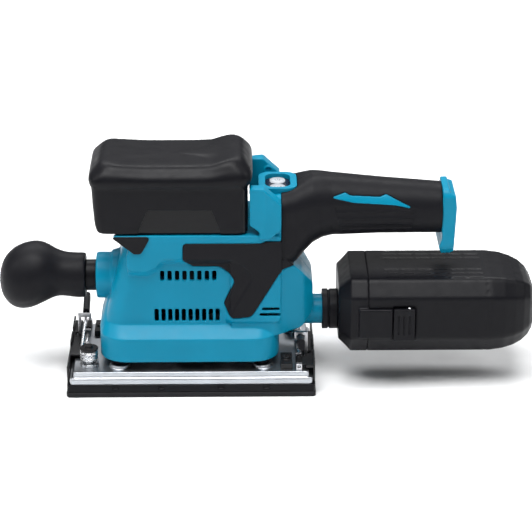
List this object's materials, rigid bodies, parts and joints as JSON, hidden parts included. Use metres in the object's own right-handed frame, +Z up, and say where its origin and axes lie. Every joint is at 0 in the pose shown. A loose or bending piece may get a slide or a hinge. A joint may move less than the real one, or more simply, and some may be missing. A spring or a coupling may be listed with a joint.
{
  "type": "orbital sander",
  "caption": "Cordless orbital sander with a rectangular pad, front knob, rear handle, top battery and rear dust box.",
  "frame": {"origin": "centre of the sole, in the plane that rests on the work", "axes": "+Z up, +X towards the rear handle and dust box, +Y to the tool user's left when looking along +X"},
  "size_m": [0.3986, 0.0934, 0.1803],
  "materials": {
    "teal_plastic": "satin moulded plastic",
    "black_plastic": "matt moulded plastic",
    "grip_rubber": "matt soft grip",
    "cast_aluminium": "satin",
    "bright_steel": "bright zinc plated",
    "steel": "ground",
    "black_steel": "black",
    "foam_rubber": "dense foam",
    "copper": "enamelled copper wire",
    "white_key": "gloss",
    "dark_panel": "gloss",
    "paper": "pleated filter paper",
    "cell_wrap": "shrink film",
    "board_green": "solder mask",
    "brass": "machined"
  },
  "bodies": {
    "housing": {"housing_left": "teal_plastic", "housing_right": "teal_plastic", "grip_left": "grip_rubber", "grip_right": "grip_rubber", "handle_accents": "teal_plastic", "housing_screws": "bright_steel", "rear_cap": "teal_plastic", "panel_bezel": "teal_plastic", "control_panel": "dark_panel", "front_bumper": "black_plastic", "battery_mount": "black_plastic", "battery_contacts": "brass", "bottom_cover": "black_plastic", "knob_insert": "brass", "controller_board": "board_green", "motor_frame": "black_plastic", "stator": "steel", "stator_windings": "copper", "bearing_bracket": "cast_aluminium", "lower_bearing": "steel", "upper_bearing": "steel"},
    "rotor": {"rotor_core": "steel", "motor_shaft": "steel", "fan": "black_plastic", "counterweight": "steel"},
    "base": {"pad_sole": "foam_rubber", "pad_plate": "black_plastic", "base_casting": "cast_aluminium", "pad_bearing": "steel", "rubber_legs": "grip_rubber", "clamp_brackets": "steel", "clamp_pins": "bright_steel", "corner_blocks": "black_steel", "lever_pillars": "bright_steel", "lever_pillar_screws": "black_steel"},
    "lever_front": {"lever_wire_front": "bright_steel", "lever_tip_front": "grip_rubber"},
    "lever_rear": {"lever_wire_rear": "bright_steel", "lever_tip_rear": "grip_rubber"},
    "clamp_front": {"clamp_plate_front": "black_steel"},
    "clamp_rear": {"clamp_plate_rear": "black_steel"},
    "knob": {"knob": "grip_rubber", "knob_collar": "black_plastic", "knob_stud": "bright_steel"},
    "battery": {"battery_base": "black_plastic", "battery_cover": "black_plastic", "battery_cells": "cell_wrap", "battery_board": "board_green"},
    "battery_button": {"battery_button": "black_plastic"},
    "power_key": {"power_key": "white_key"},
    "speed_key": {"speed_key": "white_key"},
    "dust_front": {"dust_collar": "grip_rubber", "dust_box_cover": "black_plastic", "filter_frame": "black_plastic", "filter_paper": "paper"},
    "dust_case": {"dust_box_case": "black_plastic", "latch_pins": "steel"},
    "dust_latch_left": {"dust_latch_left": "black_plastic"},
    "dust_latch_right": {"dust_latch_right": "black_plastic"}
  },
  "joints": [
    {"name": "rotor_spin", "type": "hinge", "parent": "housing", "child": "rotor", "pos_m": [-0.001, 0, 0.04], "axis": [0, 0, 1], "continuous": true},
    {"name": "base_orbit", "type": "hinge", "parent": "rotor", "child": "base", "pos_m": [0, 0, 0.02], "axis": [0, 0, 1], "continuous": true},
    {"name": "lever_press_front", "type": "hinge", "parent": "base", "child": "lever_front", "pos_m": [-0.076, -0.029, 0.0265], "axis": [1, 0, 0], "range_deg": [-4, 0], "stiffness_Nm_per_rad": 2, "springref_deg": 1.15},
    {"name": "lever_press_rear", "type": "hinge", "parent": "base", "child": "lever_rear", "pos_m": [0.076, 0.029, 0.0265], "axis": [-1, 0, 0], "range_deg": [-4, 0], "stiffness_Nm_per_rad": 2, "springref_deg": 1.15},
    {"name": "clamp_lift_front", "type": "hinge", "parent": "base", "child": "clamp_front", "pos_m": [-0.08, 0, 0.0225], "axis": [0, 1, 0], "range_deg": [0, 30]},
    {"name": "clamp_lift_rear", "type": "hinge", "parent": "base", "child": "clamp_rear", "pos_m": [0.08, 0, 0.0225], "axis": [0, -1, 0], "range_deg": [0, 30]},
    {"name": "knob_turn", "type": "hinge", "parent": "housing", "child": "knob", "pos_m": [-0.078, 0, 0.0795], "axis": [1, 0, 0], "continuous": true},
    {"name": "battery_slide", "type": "slide", "parent": "housing", "child": "battery", "axis": [-1, 0, 0], "range_m": [0, 0.12]},
    {"name": "battery_button_press", "type": "slide", "parent": "battery", "child": "battery_button", "axis": [0, 0, -1], "range_m": [0, 0.0035], "stiffness_N_per_m": 600, "springref_m": -0.003},
    {"name": "power_key_press", "type": "slide", "parent": "housing", "child": "power_key", "axis": [0, 0, -1], "range_m": [0, 0.0008], "stiffness_N_per_m": 1500, "springref_m": -0.0008},
    {"name": "speed_key_press", "type": "slide", "parent": "housing", "child": "speed_key", "axis": [0, 0, -1], "range_m": [0, 0.0008], "stiffness_N_per_m": 1500, "springref_m": -0.0008},
    {"name": "dust_box_slide", "type": "slide", "parent": "housing", "child": "dust_front", "axis": [1, 0, 0], "range_m": [0, 0.06]},
    {"name": "dust_case_slide", "type": "slide", "parent": "dust_front", "child": "dust_case", "axis": [1, 0, 0], "range_m": [0, 0.12]},
    {"name": "dust_latch_left_press", "type": "hinge", "parent": "dust_case", "child": "dust_latch_left", "pos_m": [0.161, 0.0379, 0.055], "axis": [0, 0, 1], "range_deg": [-5, 0], "stiffness_Nm_per_rad": 0.5, "springref_deg": 1.15},
    {"name": "dust_latch_right_press", "type": "hinge", "parent": "dust_case", "child": "dust_latch_right", "pos_m": [0.161, -0.0379, 0.055], "axis": [0, 0, -1], "range_deg": [-5, 0], "stiffness_Nm_per_rad": 0.5, "springref_deg": 1.15}
  ],
  "couplings": [
    {"joint": "base_orbit", "follows": "rotor_spin", "ratio": -1}
  ]
}
